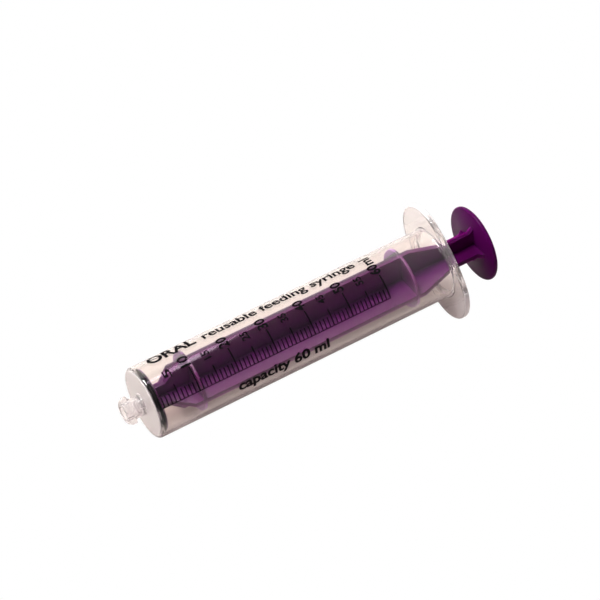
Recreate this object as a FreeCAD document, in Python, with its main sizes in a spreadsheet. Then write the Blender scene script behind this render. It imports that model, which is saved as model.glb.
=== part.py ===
import FreeCAD, Part
import math
import os
import Sketcher

# An oral syringe of 60 ml, in millimetres.
# The origin is the centre of the tip's mouth, +X runs along the barrel to the thumb rest,
# the finger flange spreads along Y, and +Z is up.

doc = FreeCAD.newDocument("OralSyringe")
sizes = doc.addObject("Spreadsheet::Sheet", "Sizes")

drivers = [
    ("tip_length", 8.4),
    ("tip_bore_radius", 2.75),
    ("tip_bore_lead", 0.3),
    ("tip_bore_depth", 6.3),
    ("tip_rim_radius", 4.4),
    ("tip_rim_length", 3.6),
    ("tip_neck_radius", 4.2),
    ("tip_channel_radius", 1.3),
    ("tip_round", 0.25),
    ("tip_base_round", 0.6),
    ("lug_start", 0.5),
    ("lug_crest_start", 2.2),
    ("lug_crest_end", 2.9),
    ("lug_end", 3.9),
    ("lug_root", 3.4),
    ("lug_shoulder", 4.5),
    ("lug_reach", 5.7),
    ("lug_width", 4.8),
    ("front_wall", 0.8),
    ("barrel_radius", 14.85),
    ("bore_radius", 13.6),
    ("barrel_length", 136.2),
    ("mouth_lead", 0.4),
    ("front_round", 1.6),
    ("floor_round", 0.5),
    ("flange_thickness", 2.5),
    ("flange_half_length", 25.0),
    ("flange_half_width", 17.2),
    ("flange_end_radius", 16.0),
    ("flange_hole_radius", 14.2),
    ("flange_round", 0.8),
    ("flange_root_round", 0.9),
    ("stop_gap", 0.05),
    ("lip_thickness", 0.4),
    ("head_radius", 12.9),
    ("groove_radius", 11.6),
    ("groove_width", 1.96),
    ("back_lip_thickness", 0.5),
    ("seal_section_radius", 0.93),
    ("seal_clearance", 0.05),
    ("fin_thickness", 2.0),
    ("fin_turn", 48.5),
    ("fin_bury", 0.5),
    ("neck_fin_radius", 6.0),
    ("slope_start", 18.5),
    ("slope_end", 25.2),
    ("fin_radius", 12.4),
    ("taper_start", 130.4),
    ("taper_end", 146.9),
    ("stem_radius", 7.0),
    ("flare_length", 2.2),
    ("flare_radius", 8.8),
    ("web_radius", 12.6),
    ("web_thickness", 1.1),
    ("front_web_start", 28.8),
    ("rear_web_start", 126.0),
    ("thumb_start", 160.8),
    ("thumb_thickness", 1.7),
    ("thumb_radius", 16.1),
    ("thumb_round", 0.7),
]

derived = [
    ("tip_lead_radius", "=tip_bore_radius + tip_bore_lead"),
    ("tip_shoulder", "=tip_rim_length + tip_rim_radius - tip_neck_radius"),
    ("floor_station", "=tip_length + front_wall"),
    ("barrel_end", "=tip_length + barrel_length"),
    ("mouth_start", "=barrel_end - mouth_lead"),
    ("mouth_radius", "=bore_radius + mouth_lead"),
    ("flange_start", "=barrel_end - flange_thickness"),
    ("flange_end_centre", "=flange_half_length - flange_end_radius"),
    ("flange_side_rise", "=flange_half_width - flange_end_radius"),
    (
        "flange_side_drop",
        "=(flange_end_centre * flange_end_centre - flange_side_rise * flange_side_rise)"
        " / (2 * flange_side_rise)",
    ),
    ("flange_side_radius", "=flange_side_drop + flange_half_width"),
    ("head_start", "=floor_station + stop_gap"),
    ("groove_start", "=head_start + lip_thickness"),
    ("groove_end", "=groove_start + groove_width"),
    ("head_end", "=groove_end + back_lip_thickness"),
    ("seal_station", "=groove_start + groove_width / 2"),
    ("seal_centre_radius", "=bore_radius - seal_clearance - seal_section_radius"),
    ("fin_start", "=head_end - fin_bury"),
    ("flare_start", "=thumb_start - flare_length"),
    ("fin_end", "=thumb_start + fin_bury"),
    ("front_web_end", "=front_web_start + web_thickness"),
    ("rear_web_end", "=rear_web_start + web_thickness"),
    ("thumb_end", "=thumb_start + thumb_thickness"),
]

for row, (name, value) in enumerate(drivers + derived, start=1):
    sizes.set("A%d" % row, name)
    sizes.set("B%d" % row, str(value))
    sizes.setAlias("B%d" % row, name)
doc.recompute()


def bind(feature, prop, name):
    feature.setExpression(prop, "Sizes." + name)


def addSketch(body, name, role, shiftName=None, turnName=None):
    sketch = body.newObject("Sketcher::SketchObject", name)
    plane = [o for o in body.Origin.OriginFeatures if o.Role == role][0]
    sketch.AttachmentSupport = [(plane, "")]
    sketch.MapMode = "FlatFace"
    if shiftName is not None:
        bind(sketch, ".AttachmentOffset.Base.z", shiftName)
    if turnName is not None:
        turn = sizes.get(turnName)
        sketch.AttachmentOffset = FreeCAD.Placement(
            FreeCAD.Vector(0, 0, 0), FreeCAD.Rotation(FreeCAD.Vector(1, 0, 0), turn)
        )
        bind(sketch, ".AttachmentOffset.Rotation.Angle", turnName)
    return sketch


def signedSize(name):
    if name == "zero":
        return 0.0
    if name.startswith("-"):
        return -float(sizes.get(name[1:]))
    return float(sizes.get(name))


def pinPoint(sketch, line, end, xName, yName):
    for kind, axis, name in (("DistanceX", -2, xName), ("DistanceY", -1, yName)):
        if name == "zero":
            sketch.addConstraint(Sketcher.Constraint("PointOnObject", line, end, axis))
            continue
        value = signedSize(name)
        index = sketch.addConstraint(Sketcher.Constraint(kind, -1, 1, line, end, value))
        label = "%s_%d_%d" % (kind, line, end)
        sketch.renameConstraint(index, label)
        sign = "-" if name.startswith("-") else ""
        sketch.setExpression("Constraints." + label, sign + "Sizes." + name.lstrip("-"))


def closedOutline(sketch, corners):
    first = sketch.GeometryCount
    count = len(corners)
    places = [FreeCAD.Vector(signedSize(x), signedSize(y), 0) for x, y in corners]
    for i in range(count):
        sketch.addGeometry(Part.LineSegment(places[i], places[(i + 1) % count]), False)
    for i in range(count):
        after = first + (i + 1) % count
        sketch.addConstraint(Sketcher.Constraint("Coincident", first + i, 2, after, 1))
    for i, (xName, yName) in enumerate(corners):
        pinPoint(sketch, first + i, 1, xName, yName)


def spin(body, name, sketch, additive=True):
    kind = "PartDesign::Revolution" if additive else "PartDesign::Groove"
    feature = body.newObject(kind, name)
    feature.Profile = sketch
    feature.ReferenceAxis = (sketch, ["H_Axis"])
    feature.Angle = 360
    doc.recompute()
    return feature


def pad(body, name, sketch, lengthName, midplane=False):
    feature = body.newObject("PartDesign::Pad", name)
    feature.Profile = sketch
    bind(feature, "Length", lengthName)
    feature.Midplane = midplane
    doc.recompute()
    return feature


def ringEdges(shape, station, radius):
    names = []
    for i, edge in enumerate(shape.Edges, start=1):
        if edge.Curve.TypeId != "Part::GeomCircle":
            continue
        centre = edge.Curve.Center
        onAxis = math.hypot(centre.y, centre.z) < 1e-4
        if onAxis and abs(centre.x - station) < 1e-4 and abs(edge.Curve.Radius - radius) < 1e-4:
            names.append("Edge%d" % i)
    return names


def ovalEdges(shape, station, clearOf):
    names = []
    for i, edge in enumerate(shape.Edges, start=1):
        box = edge.BoundBox
        flat = abs(box.XMin - station) < 1e-4 and abs(box.XMax - station) < 1e-4
        middle = edge.valueAt((edge.FirstParameter + edge.LastParameter) / 2)
        if flat and math.hypot(middle.y, middle.z) > clearOf:
            names.append("Edge%d" % i)
    return names


def roundOff(body, name, base, edgeNames, radiusName):
    if not edgeNames:
        raise RuntimeError("no edges found for " + name)
    feature = body.newObject("PartDesign::Fillet", name)
    feature.Base = (base, edgeNames)
    bind(feature, "Radius", radiusName)
    doc.recompute()
    return feature


def size(name):
    return float(sizes.get(name))


# The barrel: tube, front wall and female tip are one clear moulding.
barrel = doc.addObject("PartDesign::Body", "Barrel")
barrel.Label = "barrel"

wallSketch = addSketch(barrel, "WallSection", "XY_Plane")
closedOutline(
    wallSketch,
    [
        ("zero", "tip_lead_radius"),
        ("zero", "tip_rim_radius"),
        ("tip_rim_length", "tip_rim_radius"),
        ("tip_shoulder", "tip_neck_radius"),
        ("tip_length", "tip_neck_radius"),
        ("tip_length", "barrel_radius"),
        ("barrel_end", "barrel_radius"),
        ("barrel_end", "mouth_radius"),
        ("mouth_start", "bore_radius"),
        ("floor_station", "bore_radius"),
        ("floor_station", "tip_channel_radius"),
        ("tip_bore_depth", "tip_channel_radius"),
        ("tip_bore_depth", "tip_bore_radius"),
        ("tip_bore_lead", "tip_bore_radius"),
    ],
)
wall = spin(barrel, "Wall", wallSketch)

# The oval finger flange is four arcs that meet smoothly, around the barrel's mouth.
flangeSketch = addSketch(barrel, "FlangeOval", "YZ_Plane", shiftName="flange_start")
endCentre = size("flange_end_centre")
sideDrop = size("flange_side_drop")
endRadius = size("flange_end_radius")
sideRadius = size("flange_side_radius")
lean = math.atan2(sideDrop, endCentre)
ovalArcs = [
    (endCentre, 0, endRadius, -lean, lean),
    (0, -sideDrop, sideRadius, lean, math.pi - lean),
    (-endCentre, 0, endRadius, math.pi - lean, math.pi + lean),
    (0, sideDrop, sideRadius, math.pi + lean, 2 * math.pi - lean),
]
for cy, cz, radius, start, stop in ovalArcs:
    circle = Part.Circle(FreeCAD.Vector(cy, cz, 0), FreeCAD.Vector(0, 0, 1), radius)
    flangeSketch.addGeometry(Part.ArcOfCircle(circle, start, stop), False)
for i in range(4):
    flangeSketch.addConstraint(Sketcher.Constraint("Tangent", i, 2, (i + 1) % 4, 1))
pinPoint(flangeSketch, 0, 3, "flange_end_centre", "zero")
pinPoint(flangeSketch, 2, 3, "-flange_end_centre", "zero")
flangeSketch.addConstraint(Sketcher.Constraint("PointOnObject", 1, 3, -2))
for arc, name in ((0, "flange_end_radius"), (1, "flange_side_radius"), (3, "flange_side_radius")):
    index = flangeSketch.addConstraint(Sketcher.Constraint("Radius", arc, size(name)))
    label = "arc_%d" % arc
    flangeSketch.renameConstraint(index, label)
    flangeSketch.setExpression("Constraints." + label, "Sizes." + name)
hole = Part.Circle(FreeCAD.Vector(0, 0, 0), FreeCAD.Vector(0, 0, 1), size("flange_hole_radius"))
flangeSketch.addGeometry(hole, False)
flangeSketch.addConstraint(Sketcher.Constraint("Coincident", 4, 3, -1, 1))
holeIndex = flangeSketch.addConstraint(
    Sketcher.Constraint("Radius", 4, size("flange_hole_radius"))
)
flangeSketch.renameConstraint(holeIndex, "hole")
flangeSketch.setExpression("Constraints.hole", "Sizes.flange_hole_radius")
flange = pad(barrel, "Flange", flangeSketch, "flange_thickness")

# Two lugs on the tip take the mating connector's screw collar: each is a wedge that
# rises from the mouth to a crest and falls away behind it.
lugSketch = addSketch(barrel, "LugSection", "XY_Plane")
closedOutline(
    lugSketch,
    [
        ("lug_start", "lug_root"),
        ("lug_start", "lug_shoulder"),
        ("lug_crest_start", "lug_reach"),
        ("lug_crest_end", "lug_reach"),
        ("lug_end", "lug_root"),
    ],
)
lug = pad(barrel, "Lug", lugSketch, "lug_width", midplane=True)
lugPair = barrel.newObject("PartDesign::PolarPattern", "LugPair")
lugPair.Originals = [lug]
lugPair.Axis = (lugSketch, ["H_Axis"])
lugPair.Angle = 360
lugPair.Occurrences = 2
barrel.Tip = lugPair
doc.recompute()

frontRing = ringEdges(lugPair.Shape, size("tip_length"), size("barrel_radius"))
frontRound = roundOff(barrel, "FrontRound", lugPair, frontRing, "front_round")
floorRing = ringEdges(frontRound.Shape, size("floor_station"), size("bore_radius"))
floorRound = roundOff(barrel, "FloorRound", frontRound, floorRing, "floor_round")
baseRing = ringEdges(floorRound.Shape, size("tip_length"), size("tip_neck_radius"))
baseRound = roundOff(barrel, "TipBaseRound", floorRound, baseRing, "tip_base_round")
rimRing = ringEdges(baseRound.Shape, 0.0, size("tip_rim_radius"))
rimRound = roundOff(barrel, "TipRound", baseRound, rimRing, "tip_round")
rootRing = ringEdges(rimRound.Shape, size("flange_start"), size("barrel_radius"))
rootRound = roundOff(barrel, "FlangeRootRound", rimRound, rootRing, "flange_root_round")
ovalRims = []
for station in ("flange_start", "barrel_end"):
    ovalRims += ovalEdges(rootRound.Shape, size(station), size("flange_half_width") - 0.01)
flangeRound = roundOff(barrel, "FlangeRound", rootRound, ovalRims, "flange_round")
barrel.Tip = flangeRound

# The plunger: head, crossed fins, two guide webs and thumb rest are one moulding.
plunger = doc.addObject("PartDesign::Body", "Plunger")
plunger.Label = "plunger"

finSketch = addSketch(plunger, "FinOutline", "XY_Plane", turnName="fin_turn")
upperEdge = [
    ("fin_start", "neck_fin_radius"),
    ("slope_start", "neck_fin_radius"),
    ("slope_end", "fin_radius"),
    ("taper_start", "fin_radius"),
    ("taper_end", "stem_radius"),
    ("flare_start", "stem_radius"),
    ("thumb_start", "flare_radius"),
    ("fin_end", "flare_radius"),
]
lowerEdge = [(x, "-" + r) for x, r in reversed(upperEdge)]
closedOutline(finSketch, upperEdge + lowerEdge)
fin = pad(plunger, "Fin", finSketch, "fin_thickness", midplane=True)
crossFins = plunger.newObject("PartDesign::PolarPattern", "CrossFins")
crossFins.Originals = [fin]
crossFins.Axis = (finSketch, ["H_Axis"])
crossFins.Angle = 90
crossFins.Occurrences = 2
plunger.Tip = crossFins
doc.recompute()

headSketch = addSketch(plunger, "HeadSection", "XY_Plane")
closedOutline(
    headSketch,
    [
        ("head_start", "zero"),
        ("head_start", "head_radius"),
        ("groove_start", "head_radius"),
        ("groove_start", "groove_radius"),
        ("groove_end", "groove_radius"),
        ("groove_end", "head_radius"),
        ("head_end", "head_radius"),
        ("head_end", "zero"),
    ],
)
head = spin(plunger, "Head", headSketch)

for name, start, stop in (
    ("FrontWeb", "front_web_start", "front_web_end"),
    ("RearWeb", "rear_web_start", "rear_web_end"),
):
    webSketch = addSketch(plunger, name + "Section", "XY_Plane")
    webOutline = [(start, "zero"), (start, "web_radius"), (stop, "web_radius"), (stop, "zero")]
    closedOutline(webSketch, webOutline)
    web = spin(plunger, name, webSketch)

thumbSketch = addSketch(plunger, "ThumbSection", "XY_Plane")
closedOutline(
    thumbSketch,
    [
        ("thumb_start", "zero"),
        ("thumb_start", "thumb_radius"),
        ("thumb_end", "thumb_radius"),
        ("thumb_end", "zero"),
    ],
)
thumb = spin(plunger, "ThumbRest", thumbSketch)
thumbRims = []
for station in ("thumb_start", "thumb_end"):
    thumbRims += ringEdges(thumb.Shape, size(station), size("thumb_radius"))
thumbRound = roundOff(plunger, "ThumbRound", thumb, thumbRims, "thumb_round")
plunger.Tip = thumbRound

# The seal ring sits in the head's groove, with running clearance to the groove and the bore.
seal = doc.addObject("PartDesign::Body", "SealRing")
seal.Label = "seal_ring"
sealSketch = addSketch(seal, "SealSection", "XY_Plane")
sealMiddle = FreeCAD.Vector(size("seal_station"), size("seal_centre_radius"), 0)
sealCircle = Part.Circle(sealMiddle, FreeCAD.Vector(0, 0, 1), size("seal_section_radius"))
sealSketch.addGeometry(sealCircle, False)
pinPoint(sealSketch, 0, 3, "seal_station", "seal_centre_radius")
sectionIndex = sealSketch.addConstraint(
    Sketcher.Constraint("Radius", 0, size("seal_section_radius"))
)
sealSketch.renameConstraint(sectionIndex, "section")
sealSketch.setExpression("Constraints.section", "Sizes.seal_section_radius")
sealRing = spin(seal, "Seal", sealSketch)
seal.Tip = sealRing

doc.recompute()

for item in doc.Objects:
    for word in ("Invalid", "Error"):
        if word in item.State:
            raise RuntimeError("%s is %s" % (item.Name, item.State))

os.makedirs("parts", exist_ok=True)
for node in (barrel, plunger, seal):
    node.Placement = FreeCAD.Placement()
    shape = node.Shape
    if shape.isNull() or not shape.isValid() or len(shape.Solids) != 1:
        raise RuntimeError(node.Label + " is not one valid solid")
    box = shape.BoundBox
    print(
        "%s %.0f cubic mm, x %.2f to %.2f, y %.2f to %.2f, z %.2f to %.2f"
        % (node.Label, shape.Volume, box.XMin, box.XMax, box.YMin, box.YMax, box.ZMin, box.ZMax)
    )
    shape.exportStep("parts/%s.step" % node.Label)
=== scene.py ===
import bpy
import bmesh
import math
from mathutils import Matrix, Vector


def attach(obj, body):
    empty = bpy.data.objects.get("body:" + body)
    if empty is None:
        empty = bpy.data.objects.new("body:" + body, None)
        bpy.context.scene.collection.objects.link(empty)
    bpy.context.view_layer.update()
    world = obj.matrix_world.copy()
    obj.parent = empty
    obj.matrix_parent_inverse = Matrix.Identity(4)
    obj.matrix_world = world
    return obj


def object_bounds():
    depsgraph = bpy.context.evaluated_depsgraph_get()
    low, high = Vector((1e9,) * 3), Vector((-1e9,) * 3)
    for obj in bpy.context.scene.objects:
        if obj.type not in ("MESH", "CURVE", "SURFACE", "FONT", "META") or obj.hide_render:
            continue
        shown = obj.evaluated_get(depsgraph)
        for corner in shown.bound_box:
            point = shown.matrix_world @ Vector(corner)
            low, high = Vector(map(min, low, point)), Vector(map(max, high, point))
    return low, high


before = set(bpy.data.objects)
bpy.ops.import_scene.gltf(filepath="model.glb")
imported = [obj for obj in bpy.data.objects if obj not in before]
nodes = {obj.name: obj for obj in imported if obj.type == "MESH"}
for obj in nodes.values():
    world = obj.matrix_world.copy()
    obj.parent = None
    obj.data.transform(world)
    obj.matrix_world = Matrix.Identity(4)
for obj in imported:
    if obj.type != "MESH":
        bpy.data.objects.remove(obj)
cadLow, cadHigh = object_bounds()
mm = 0.001


def hexToLinear(code):
    channels = [int(code[i : i + 2], 16) / 255 for i in (1, 3, 5)]
    linear = [c / 12.92 if c <= 0.04045 else ((c + 0.055) / 1.055) ** 2.4 for c in channels]
    return (*linear, 1.0)


def addNode(tree, kind, settings=None, **links):
    # settings go to the node or, by name or number, to its inputs; a link named pin3 goes to input 3
    node = tree.nodes.new(kind)
    for key, value in (settings or {}).items():
        if isinstance(key, str) and hasattr(node, key) and key not in node.inputs:
            setattr(node, key, value)
        else:
            node.inputs[key].default_value = value
    for key, source in links.items():
        socket = node.inputs[int(key[3:])] if key.startswith("pin") else node.inputs[key.replace("_", " ")]
        tree.links.new(source, socket)
    return node


def between(ends, low=0.0, high=1.0):
    # settings that turn a place from ends[0] to ends[1], in mm, into a value from low to high
    return {"From Min": ends[0] * mm, "From Max": ends[1] * mm, "To Min": low, "To Max": high}


def grainOf(size):
    return 1000 / size  # noise scale for spots of this size in mm


def newMaterial(name):
    material = bpy.data.materials.new(name)
    material.use_nodes = True
    material.node_tree.nodes.clear()
    return material, material.node_tree


def dress(obj, material):
    obj.data.materials.clear()
    obj.data.materials.append(material)


def newObject(name, data):
    obj = bpy.data.objects.new(name, data)
    bpy.context.scene.collection.objects.link(obj)
    return obj


# Camera: metres, with its own right, up and back directions.
shot = {
    "place": (-0.22925, 0.00034, 0.92859),
    "right": (0.85385, -0.43628, 0.28389),
    "up": (0.41059, 0.89976, 0.14782),
    "back": (-0.31992, -0.00965, 0.94739),
    "lens": 149.27,
    "sensor": 36,
    "clip": (0.01, 20),
}
camData = bpy.data.cameras.new("studioCamera")
camData.lens = shot["lens"]
camData.sensor_width = shot["sensor"]
camData.clip_start, camData.clip_end = shot["clip"]
cam = newObject("studioCamera", camData)
turn = Matrix((shot["right"], shot["up"], shot["back"])).transposed().to_4x4()
cam.matrix_world = Matrix.Translation(shot["place"]) @ turn
bpy.context.scene.camera = cam
print("camera set")


# White paper sweep: burnt out where it is seen straight on, a warm grey where it is seen through the tube.
sweep = {"paperHex": "#d5cec7", "glow": 1.0, "half": 3.0, "gap": 0.4, "roughness": 0.95}
half = sweep["half"]  # metres each way
floorZ = cadLow.z - sweep["gap"] * mm
corners = [(-half, -half, floorZ), (half, -half, floorZ), (half, half, floorZ), (-half, half, floorZ)]
floorMesh = bpy.data.meshes.new("floor")
floorMesh.from_pydata(corners, [], [(0, 1, 2, 3)])
floor = newObject("floor", floorMesh)
material, tree = newMaterial("whitePaperSweep")
paper = addNode(
    tree,
    "ShaderNodeBsdfPrincipled",
    {
        "Base Color": hexToLinear(sweep["paperHex"]),
        "Roughness": sweep["roughness"],
        "Specular IOR Level": 0.0,
    },
)
white = addNode(tree, "ShaderNodeEmission", {"Color": (1, 1, 1, 1), "Strength": sweep["glow"]})
paths = addNode(tree, "ShaderNodeLightPath")
seen = addNode(
    tree,
    "ShaderNodeMixShader",
    None,
    Fac=paths.outputs["Is Camera Ray"],
    pin1=paper.outputs[0],
    pin2=white.outputs[0],
)
addNode(tree, "ShaderNodeOutputMaterial", None, Surface=seen.outputs[0])
dress(floor, material)


# Soft boxes: place and aim in metres, size in metres, power in watts.
middle = (0.085, 0.0, 0.0)
lamps = {
    "keyBox": {
        "place": (-0.14, 0.85, 0.62),
        "aim": middle,
        "size": (0.45, 0.5),
        "power": 27,
        "hex": "#ffffff",
    },
    "fillBox": {
        "place": (-0.30, -0.85, 0.60),
        "aim": middle,
        "size": (0.6, 0.6),
        "power": 5,
        "hex": "#ffe8ee",
    },
    "rimBox": {
        "place": (1.00, 0.45, 0.35),
        "aim": middle,
        "size": (0.5, 0.5),
        "power": 5,
        "hex": "#ffffff",
    },
    "glintStrip": {  # the long soft shine on the front half of the tube
        "place": (0.295, 0.815, 0.50),
        "aim": (0.032, 0.006, 0.013),
        "size": (0.05, 0.26),
        "power": 0.22,
        "hex": "#ecd0ec",
    },
}
for name, look in lamps.items():
    data = bpy.data.lights.new(name, "AREA")
    data.shape = "RECTANGLE"
    data.size, data.size_y = look["size"]
    data.energy = look["power"]
    data.color = hexToLinear(look["hex"])[:3]
    lamp = newObject(name, data)
    lamp.location = look["place"]
    lamp.rotation_mode = "QUATERNION"
    lamp.rotation_quaternion = (Vector(look["place"]) - Vector(look["aim"])).to_track_quat("Z", "Y")


# Dark room: one low bright wall and one dim wall, so the tube shows reflections at its two long edges only.
room = {
    "brightSide": (0.6, 0.9),
    "brightTop": (0.12, 0.3),
    "dimSide": (-0.35, -0.85),
    "dimGlow": (0.04, 0.32),
}
world = bpy.data.worlds.new("studioWorld")
bpy.context.scene.world = world
world.use_nodes = True
tree = world.node_tree
tree.nodes.clear()
where = addNode(tree, "ShaderNodeTexCoord")
axes = addNode(tree, "ShaderNodeSeparateXYZ", None, Vector=where.outputs["Generated"])
side = addNode(
    tree,
    "ShaderNodeMapRange",
    {"From Min": room["brightSide"][0], "From Max": room["brightSide"][1], "To Min": 0.0, "To Max": 1.0},
    Value=axes.outputs["Y"],
)
low = addNode(
    tree,
    "ShaderNodeMapRange",
    {"From Min": room["brightTop"][0], "From Max": room["brightTop"][1], "To Min": 1.0, "To Max": 0.0},
    Value=axes.outputs["Z"],
)
wall = addNode(
    tree,
    "ShaderNodeMapRange",
    {
        "From Min": room["dimSide"][0],
        "From Max": room["dimSide"][1],
        "To Min": room["dimGlow"][0],
        "To Max": room["dimGlow"][1],
    },
    Value=axes.outputs["Y"],
)
both = addNode(
    tree,
    "ShaderNodeMath",
    {"operation": "MULTIPLY_ADD"},
    pin0=side.outputs[0],
    pin1=low.outputs[0],
    pin2=wall.outputs[0],
)
paths = addNode(tree, "ShaderNodeLightPath")
strength = addNode(
    tree,
    "ShaderNodeMath",
    {"operation": "MAXIMUM"},
    pin0=both.outputs[0],
    pin1=paths.outputs["Is Camera Ray"],
)
sky = addNode(tree, "ShaderNodeBackground", {"Color": (1, 1, 1, 1)}, Strength=strength.outputs[0])
addNode(tree, "ShaderNodeOutputWorld", None, Surface=sky.outputs[0])
bpy.context.scene.view_settings.view_transform = "Standard"
print("floor and light set")


# Moulded clear polypropylene: nearly clear with a faint milky haze, thicker at the nose and the flange.
barrelLook = {
    "tubeHex": "#fdf8f6",
    "tipHex": "#e9e6e6",
    "hazeHex": "#eae6e5",
    "shadowHex": "#f2eeee",
    "ior": 1.49,
    "roughness": (0.05, 0.08),
    "hazeRoughness": 0.35,
    "wave": 11.1,  # mm between the slow waves of the moulded wall
    "waveBump": 0.02,
    "waveHeight": 0.2,
    "smear": 4.0,  # mm across a finger smear
    "haze": 0.002,
    "tipHaze": 0.1,
    "noseHaze": 0.32,
    "rearHaze": 0.012,
    "flangeHaze": 0.06,
    "wingHaze": 0.28,
    "rimHaze": 0.5,
    "zones": {  # where the finish changes, in mm from the tip, and for the wings in mm off the axis
        "pastTip": (8.0, 9.0),
        "tip": (8.0, 8.4),
        "nose": (9.8, 10.5),
        "rear": (108, 124),
        "flange": (140.8, 142.2),
        "wing": (13, 19),
    },
    "faceTurn": (-0.5, -0.85),  # how squarely the front wall faces the tip
    "rimTurn": (0.9, 0.6),  # how far a wing's surface has turned over into its rim
}


def makeClearPolypropylene(look):
    zones = look["zones"]
    material, tree = newMaterial("clearPolypropyleneMoulded")
    coords = addNode(tree, "ShaderNodeTexCoord")
    place = addNode(tree, "ShaderNodeSeparateXYZ", None, Vector=coords.outputs["Object"])
    x, y = place.outputs["X"], place.outputs["Y"]
    facing = addNode(tree, "ShaderNodeSeparateXYZ", None, Vector=coords.outputs["Normal"])
    ripple = addNode(
        tree,
        "ShaderNodeTexNoise",
        {"Scale": grainOf(look["wave"]), "Detail": 0.0},
        Vector=coords.outputs["Object"],
    )
    bump = addNode(
        tree,
        "ShaderNodeBump",
        {"Strength": look["waveBump"], "Distance": look["waveHeight"] * mm},
        Height=ripple.outputs[0],
    )
    smear = addNode(
        tree,
        "ShaderNodeTexNoise",
        {"Scale": grainOf(look["smear"]), "Detail": 2.0},
        Vector=coords.outputs["Object"],
    )
    roughLow, roughHigh = look["roughness"]
    handled = addNode(
        tree, "ShaderNodeMapRange", {"To Min": roughLow, "To Max": roughHigh}, Value=smear.outputs[0]
    )
    pastTip = addNode(tree, "ShaderNodeMapRange", between(zones["pastTip"]), Value=x)
    tint = addNode(
        tree,
        "ShaderNodeMix",
        {"data_type": "RGBA", 6: hexToLinear(look["tipHex"]), 7: hexToLinear(look["tubeHex"])},
        pin0=pastTip.outputs[0],
    )
    glass = addNode(
        tree,
        "ShaderNodeBsdfPrincipled",
        {"IOR": look["ior"], "Transmission Weight": 1.0},
        Base_Color=tint.outputs[2],
        Roughness=handled.outputs[0],
        Normal=bump.outputs[0],
    )
    haze = addNode(
        tree,
        "ShaderNodeBsdfPrincipled",
        {
            "Base Color": hexToLinear(look["hazeHex"]),
            "Roughness": look["hazeRoughness"],
            "IOR": look["ior"],
        },
        Normal=bump.outputs[0],
    )

    # the flat front wall and the tip
    turnLow, turnHigh = look["faceTurn"]
    flat = addNode(
        tree, "ShaderNodeMapRange", {"From Min": turnLow, "From Max": turnHigh}, Value=facing.outputs["X"]
    )
    atTip = addNode(tree, "ShaderNodeMapRange", between(zones["tip"], look["tipHaze"], 0.0), Value=x)
    atNose = addNode(tree, "ShaderNodeMapRange", between(zones["nose"], look["noseHaze"], 0.0), Value=x)
    face = addNode(
        tree, "ShaderNodeMath", {"operation": "MULTIPLY"}, pin0=flat.outputs[0], pin1=atNose.outputs[0]
    )
    # the rear of the tube and the flange
    atRear = addNode(tree, "ShaderNodeMapRange", between(zones["rear"], 0.0, look["rearHaze"]), Value=x)
    flangeEnds = between(zones["flange"], 0.0, look["flangeHaze"])
    atFlange = addNode(tree, "ShaderNodeMapRange", flangeEnds, Value=x)
    # the finger wings, milkier still round their rims
    outward = addNode(tree, "ShaderNodeMath", {"operation": "ABSOLUTE"}, pin0=y)
    onWing = addNode(tree, "ShaderNodeMapRange", between(zones["wing"]), Value=outward.outputs[0])
    level = addNode(tree, "ShaderNodeMath", {"operation": "ABSOLUTE"}, pin0=facing.outputs["X"])
    turnLow, turnHigh = look["rimTurn"]
    edge = addNode(
        tree,
        "ShaderNodeMapRange",
        {"From Min": turnLow, "From Max": turnHigh, "To Min": look["wingHaze"], "To Max": look["rimHaze"]},
        Value=level.outputs[0],
    )
    rim = addNode(
        tree, "ShaderNodeMath", {"operation": "MULTIPLY"}, pin0=onWing.outputs[0], pin1=edge.outputs[0]
    )

    cloud = face.outputs[0]
    for more in (atTip, atFlange):
        cloud = addNode(
            tree, "ShaderNodeMath", {"operation": "MAXIMUM"}, pin0=cloud, pin1=more.outputs[0]
        ).outputs[0]
    cloud = addNode(tree, "ShaderNodeMath", {"operation": "ADD", 1: look["haze"]}, pin0=cloud).outputs[0]
    for more in (atRear, rim):
        cloud = addNode(
            tree, "ShaderNodeMath", {"operation": "MAXIMUM"}, pin0=cloud, pin1=more.outputs[0]
        ).outputs[0]
    milky = addNode(
        tree, "ShaderNodeMixShader", None, Fac=cloud, pin1=glass.outputs[0], pin2=haze.outputs[0]
    )

    # light passes straight through, so the plunger inside isn't left in the dark
    clear = addNode(tree, "ShaderNodeBsdfTransparent", {"Color": hexToLinear(look["shadowHex"])})
    paths = addNode(tree, "ShaderNodeLightPath")
    lighting = addNode(
        tree,
        "ShaderNodeMath",
        {"operation": "MAXIMUM"},
        pin0=paths.outputs["Is Shadow Ray"],
        pin1=paths.outputs["Is Diffuse Ray"],
    )
    body = addNode(
        tree,
        "ShaderNodeMixShader",
        None,
        Fac=lighting.outputs[0],
        pin1=milky.outputs[0],
        pin2=clear.outputs[0],
    )
    addNode(tree, "ShaderNodeOutputMaterial", None, Surface=body.outputs[0])
    return material


dress(nodes["barrel"], makeClearPolypropylene(barrelLook))
print("barrel dressed")


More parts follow.
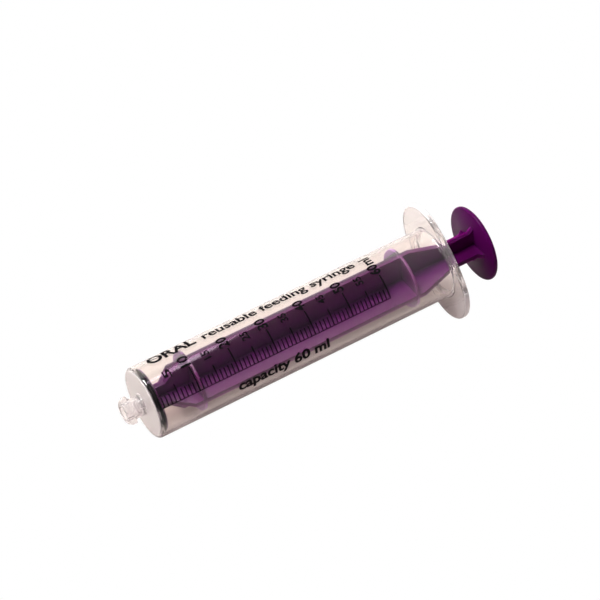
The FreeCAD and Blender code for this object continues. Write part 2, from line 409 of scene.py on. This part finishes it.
# Moulded purple polypropylene with real subsurface glow; the thick fins keep a deep purple, painted glow
# turns the fin edges, thin webs and lower fin ends lilac, and painted shade darkens the upper fin ends, the
# head and the neck.
plungerLook = {
    "deepHex": "#4c0352",
    # the edge, glow and bare-web colours are painted glow; the shade and stem colours are painted shade
    "paintedEdgeGlowHex": "#540e50",
    "paintedGlowHex": "#a06aa0",
    "paintedBareGlowHex": "#9c5eb0",
    "shadeHex": "#12021a",
    "paintedStemShadeHex": "#340230",
    "thumbHex": "#3c033a",
    "roughness": 0.3,
    "ior": (1.49, 1.2),  # inside the tube and past it
    "shine": (0.6, 0.16),
    "grain": 1.1,  # mm across the fine orange-peel of the mould
    "grainBump": 0.12,
    "grainHeight": 0.1,
    "glow": 0.8,
    "glowReach": (1.0, 0.25, 0.9),  # red and blue light travel furthest in purple plastic
    "glowDepth": 2.5,  # mm that red light travels
    "corner": 0.3,  # mm, the soft corners of the moulding
    "dish": -11.0,  # how strongly the thumb rest curves in, per metre
    "webGlow": {28.8: 0.11, 126.0: 0.3},  # how strong the painted glow on each round web's rim is, by its place in mm
    # how strongly the painted shade and painted glow are laid over the plunger's colour
    "upperShade": 0.8,
    "lowerGlow": 0.5,
    "bareGlow": 0.75,
    "headShade": 0.65,
    "zones": {  # in mm along the plunger, or off its axis for the webs and fins
        "web": (0.6, 1.0),
        "webRim": (10.5, 12.2),
        "finDepth": (3.0, 11.5),
        "upperEnds": (8.0, 8.6),
        "lowerEnds": (-9.0, -9.8),
        "pastFins": (10.0, 10.5),
        "head": (12.5, 24.0),
        "stem": (144, 149),
        "shine": (146, 148),
        "thumb": (158.5, 160.5),
    },
}


def makePurplePolypropylene(look):
    zones = look["zones"]
    material, tree = newMaterial("purplePolypropyleneMoulded")
    coords = addNode(tree, "ShaderNodeTexCoord")
    place = addNode(tree, "ShaderNodeSeparateXYZ", None, Vector=coords.outputs["Object"])
    x, y = place.outputs["X"], place.outputs["Y"]
    across = addNode(
        tree, "ShaderNodeVectorMath", {"operation": "MULTIPLY", 1: (0, 1, 1)}, pin0=coords.outputs["Object"]
    )
    reach = addNode(tree, "ShaderNodeVectorMath", {"operation": "LENGTH"}, pin0=across.outputs[0])

    webs = []
    for centre, glow in look["webGlow"].items():
        away = addNode(tree, "ShaderNodeMath", {"operation": "SUBTRACT", 1: centre * mm}, pin0=x)
        size = addNode(tree, "ShaderNodeMath", {"operation": "ABSOLUTE"}, pin0=away.outputs[0])
        light = addNode(tree, "ShaderNodeMapRange", between(zones["web"], glow, 0.0), Value=size.outputs[0])
        webs.append(light)
    web = addNode(
        tree, "ShaderNodeMath", {"operation": "MAXIMUM"}, pin0=webs[0].outputs[0], pin1=webs[1].outputs[0]
    )
    webRim = addNode(tree, "ShaderNodeMapRange", between(zones["webRim"]), Value=reach.outputs["Value"])
    paintedWebRimGlow = addNode(
        tree, "ShaderNodeMath", {"operation": "MULTIPLY"}, pin0=web.outputs[0], pin1=webRim.outputs[0]
    )
    sideways = addNode(tree, "ShaderNodeMath", {"operation": "ABSOLUTE"}, pin0=y)
    upperEnds = between(zones["upperEnds"], 0.0, look["upperShade"])
    upper = addNode(tree, "ShaderNodeMapRange", upperEnds, Value=y)
    lower = addNode(tree, "ShaderNodeMapRange", between(zones["lowerEnds"], 0.0, look["lowerGlow"]), Value=y)
    bareWebs = between(zones["pastFins"], 0.0, look["bareGlow"])
    paintedBareWebGlow = addNode(tree, "ShaderNodeMapRange", bareWebs, Value=sideways.outputs[0])
    head = addNode(tree, "ShaderNodeMapRange", between(zones["head"], look["headShade"], 0.0), Value=x)
    stem = addNode(tree, "ShaderNodeMapRange", between(zones["stem"]), Value=x)
    onThumb = addNode(tree, "ShaderNodeMapRange", between(zones["thumb"]), Value=x)
    depth = addNode(tree, "ShaderNodeMapRange", between(zones["finDepth"]), Value=reach.outputs["Value"])

    colour = addNode(
        tree,
        "ShaderNodeMix",
        {"data_type": "RGBA", 6: hexToLinear(look["deepHex"]), 7: hexToLinear(look["paintedEdgeGlowHex"])},
        pin0=depth.outputs[0],
    )  # painted glow: the fins grow lighter towards their edges, as if more light came through there
    layers = (
        (paintedWebRimGlow, "paintedGlowHex"),  # painted glow on the rims of the thin webs, lighter still
        # painted shade on the upper fin ends
        (upper, "shadeHex"),
        # painted glow on the lower fin ends, softening their dark edge
        (lower, "paintedGlowHex"),
        (paintedBareWebGlow, "paintedBareGlowHex"),  # painted glow, strongest, on the webs between the fins
        (head, "shadeHex"),  # painted shade on the head, dark beside the black ring
        # painted shade on the neck, in the shadow of the flange and the thumb rest
        (stem, "paintedStemShadeHex"),
        (onThumb, "thumbHex"),
    )
    for mask, hexName in layers:
        colour = addNode(
            tree,
            "ShaderNodeMix",
            {"data_type": "RGBA", 7: hexToLinear(look[hexName])},
            pin0=mask.outputs[0],
            pin6=colour.outputs[2],
        )

    # softened corners, a dished thumb rest and the grain of the mould
    soft = addNode(tree, "ShaderNodeBevel", {"samples": 4, "Radius": look["corner"] * mm})
    dome = addNode(tree, "ShaderNodeMath", {"operation": "POWER", 1: 2.0}, pin0=reach.outputs["Value"])
    sink = addNode(tree, "ShaderNodeMath", {"operation": "MULTIPLY", 1: look["dish"]}, pin0=dome.outputs[0])
    dished = addNode(
        tree,
        "ShaderNodeBump",
        {"Strength": 1.0, "Distance": 1.0},
        Height=sink.outputs[0],
        Normal=soft.outputs[0],
    )
    shaped = addNode(
        tree,
        "ShaderNodeMix",
        {"data_type": "VECTOR"},
        pin0=onThumb.outputs[0],
        pin4=soft.outputs[0],
        pin5=dished.outputs[0],
    )
    grain = addNode(
        tree,
        "ShaderNodeTexNoise",
        {"Scale": grainOf(look["grain"]), "Detail": 3.0},
        Vector=coords.outputs["Object"],
    )
    bump = addNode(
        tree,
        "ShaderNodeBump",
        {"Strength": look["grainBump"], "Distance": look["grainHeight"] * mm},
        Height=grain.outputs[0],
        Normal=shaped.outputs[1],
    )
    bend = addNode(tree, "ShaderNodeMapRange", between(zones["shine"], *look["ior"]), Value=x)
    polish = addNode(tree, "ShaderNodeMapRange", between(zones["shine"], *look["shine"]), Value=x)
    shader = addNode(
        tree,
        "ShaderNodeBsdfPrincipled",
        {
            "Roughness": look["roughness"],
            "Subsurface Weight": look["glow"],
            "Subsurface Radius": look["glowReach"],
            "Subsurface Scale": look["glowDepth"] * mm,
        },
        Base_Color=colour.outputs[2],
        IOR=bend.outputs[0],
        Specular_IOR_Level=polish.outputs[0],
        Normal=bump.outputs[0],
    )
    addNode(tree, "ShaderNodeOutputMaterial", None, Surface=shader.outputs[0])
    return material


dress(nodes["plunger"], makePurplePolypropylene(plungerLook))
print("plunger dressed")


# Moulded black rubber: very dark, with a soft sheen from a film of silicone oil.
sealLook = {
    "blackHex": "#020102",
    "dustHex": "#070508",
    "ior": 1.5,
    "shine": 0.06,
    "roughness": (0.5, 0.75),
    "grain": 0.4,  # mm, coarser than real rubber so that it shows
    "grainBump": 0.15,
    "grainHeight": 0.03,
}


def makeBlackRubber(look):
    material, tree = newMaterial("blackRubberMoulded")
    coords = addNode(tree, "ShaderNodeTexCoord")
    grain = addNode(
        tree,
        "ShaderNodeTexNoise",
        {"Scale": grainOf(look["grain"]), "Detail": 3.0},
        Vector=coords.outputs["Object"],
    )
    roughLow, roughHigh = look["roughness"]
    oil = addNode(
        tree, "ShaderNodeMapRange", {"To Min": roughLow, "To Max": roughHigh}, Value=grain.outputs[0]
    )
    dust = addNode(
        tree,
        "ShaderNodeMix",
        {"data_type": "RGBA", 6: hexToLinear(look["blackHex"]), 7: hexToLinear(look["dustHex"])},
        pin0=grain.outputs[0],
    )
    bump = addNode(
        tree,
        "ShaderNodeBump",
        {"Strength": look["grainBump"], "Distance": look["grainHeight"] * mm},
        Height=grain.outputs[0],
    )
    shader = addNode(
        tree,
        "ShaderNodeBsdfPrincipled",
        {"IOR": look["ior"], "Specular IOR Level": look["shine"]},
        Base_Color=dust.outputs[2],
        Roughness=oil.outputs[0],
        Normal=bump.outputs[0],
    )
    addNode(tree, "ShaderNodeOutputMaterial", None, Surface=shader.outputs[0])
    return material


dress(nodes["seal_ring"], makeBlackRubber(sealLook))
print("seal ring dressed")


# Pad-printed black ink: a thin matt film on the tube, a little worn.
# All in mm: x runs along the tube and arc runs round it.
film = {
    "hex": "#040305",
    "shine": 0.04,
    "roughness": (0.6, 0.85),
    "worn": 0.67,  # mm across a worn spot
    "tubeRadius": 14.85,
    "lift": 0.02,
    "thickness": 0.03,
    "cutEvery": 0.4,
    "arcLow": -20,
    "arcHigh": 24,
    "capHeight": 0.73,  # a capital's height as a share of the font's size
}
scale = {
    "bore": 13.6,
    "zeroAt": 10.4,
    "top": 60,
    "rail": -4.9,
    "railWidth": 0.4,
    "railPast": 0.2,
    "ends": {1: -0.8, 5: 1.75, 10: 5.2},
    "line": {1: 0.5, 5: 0.54, 10: 0.6},
    "numbers": {
        5: {"height": 3.3, "width": 3.8, "arc": 4.7, "back": 0.4, "weight": 0.11},
        10: {"height": 4.3, "width": 5.0, "arc": 5.8, "back": 0.8, "weight": 0.19},
    },
    "unit": {"words": "ml", "width": 5.6, "gap": 0.5},
}
lettering = [
    {"words": "ORAL", "height": 6.2, "from": 15.6, "to": 36.2, "arc": 14.2, "weight": 0.27},
    {
        "words": "reusable feeding syringe",
        "height": 4.9,
        "from": 39.5,
        "to": 108.3,
        "arc": 14.2,
        "weight": 0.16,
    },
    {"words": "capacity 60 ml", "height": 4.7, "from": 43.0, "to": 84.0, "arc": -13.4, "weight": 0.22},
]


def makePadPrintInk(look):
    material, tree = newMaterial("blackPadPrintInk")
    coords = addNode(tree, "ShaderNodeTexCoord")
    worn = addNode(
        tree,
        "ShaderNodeTexNoise",
        {"Scale": grainOf(look["worn"]), "Detail": 2.0},
        Vector=coords.outputs["Object"],
    )
    roughLow, roughHigh = look["roughness"]
    gloss = addNode(
        tree, "ShaderNodeMapRange", {"To Min": roughLow, "To Max": roughHigh}, Value=worn.outputs[0]
    )
    shader = addNode(
        tree,
        "ShaderNodeBsdfPrincipled",
        {"Base Color": hexToLinear(look["hex"]), "Specular IOR Level": look["shine"]},
        Roughness=gloss.outputs[0],
    )
    addNode(tree, "ShaderNodeOutputMaterial", None, Surface=shader.outputs[0])
    return material


def wordMesh(words, height, weight):
    curve = bpy.data.curves.new("words", "FONT")
    curve.body = words
    curve.size = height / film["capHeight"]
    curve.offset = weight
    curve.resolution_u = 4
    carrier = newObject("words", curve)
    bpy.context.view_layer.update()
    mesh = bpy.data.meshes.new_from_object(carrier.evaluated_get(bpy.context.evaluated_depsgraph_get()))
    bpy.data.objects.remove(carrier)
    bpy.data.curves.remove(curve)
    xs = [v.co.x for v in mesh.vertices]
    return mesh, min(xs), max(xs)


def addPatch(bm, x0, x1, arc0, arc1):
    corners = [bm.verts.new((x, arc, 0)) for x, arc in ((x0, arc0), (x1, arc0), (x1, arc1), (x0, arc1))]
    bm.faces.new(corners)


def addLabel(bm, words, look, at):
    # words that read round the tube, across their tick
    mesh, left, right = wordMesh(words, look["height"], look["weight"])
    stretch = look["width"] / (right - left)
    for v in mesh.vertices:
        v.co = (at - look["back"] - v.co.y + look["height"] / 2, look["arc"] + (v.co.x - left) * stretch, 0)
    bm.from_mesh(mesh)
    bpy.data.meshes.remove(mesh)


def addLine(bm, line):
    # words that read along the tube
    mesh, left, right = wordMesh(line["words"], line["height"], line["weight"])
    stretch = (line["to"] - line["from"]) / (right - left)
    for v in mesh.vertices:
        v.co = (line["from"] + (v.co.x - left) * stretch, line["arc"] + v.co.y, 0)
    bm.from_mesh(mesh)
    bpy.data.meshes.remove(mesh)


def wrapOnBarrel(bm, name, material):
    step = film["cutEvery"]
    for k in range(round(film["arcLow"] / step), round(film["arcHigh"] / step)):
        cut = bm.verts[:] + bm.edges[:] + bm.faces[:]  # in narrow strips, so that flat letters can curve
        bmesh.ops.bisect_plane(bm, geom=cut, plane_co=(0, k * step, 0), plane_no=(0, 1, 0))
    bmesh.ops.triangulate(bm, faces=[f for f in bm.faces if len(f.verts) > 4])
    radius = film["tubeRadius"] + film["lift"]
    for v in bm.verts:
        angle = v.co.y / film["tubeRadius"]
        v.co = (v.co.x * mm, radius * math.sin(angle) * mm, radius * math.cos(angle) * mm)
    bm.normal_update()
    for f in bm.faces:
        centre = f.calc_center_median()
        if f.normal.dot(Vector((0, centre.y, centre.z))) < 0:
            f.normal_flip()
    mesh = bpy.data.meshes.new(name)
    bm.to_mesh(mesh)
    bm.free()
    obj = newObject(name, mesh)
    thick = obj.modifiers.new("film", "SOLIDIFY")
    thick.thickness = film["thickness"] * mm
    thick.offset = 1
    dress(obj, material)
    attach(obj, "barrel")


ink = makePadPrintInk(film)
numbers = scale["numbers"]
unit = scale["unit"]
pitch = 1000 / (math.pi * scale["bore"] ** 2)  # mm along the bore for each millilitre
lastTick = scale["zeroAt"] + scale["top"] * pitch

bm = bmesh.new()
for ml in range(scale["top"] + 1):
    step = 1 if ml == 0 or ml % 5 else 10 if ml % 10 == 0 else 5
    at = scale["zeroAt"] + ml * pitch
    halfLine = scale["line"][step] / 2
    addPatch(bm, at - halfLine, at + halfLine, scale["rail"], scale["ends"][step])
    if step in numbers:
        addLabel(bm, str(ml), numbers[step], at)
railStart = scale["zeroAt"] - scale["railPast"]
addPatch(bm, railStart, lastTick + scale["railPast"], scale["rail"] - scale["railWidth"], scale["rail"])
unitArc = numbers[10]["arc"] + numbers[10]["width"] + unit["gap"]
addLabel(bm, unit["words"], {**numbers[10], "arc": unitArc, "width": unit["width"]}, lastTick)
wrapOnBarrel(bm, "printedScale", ink)

bm = bmesh.new()
for line in lettering:
    addLine(bm, line)
wrapOnBarrel(bm, "printedLettering", ink)
print("ink printed")
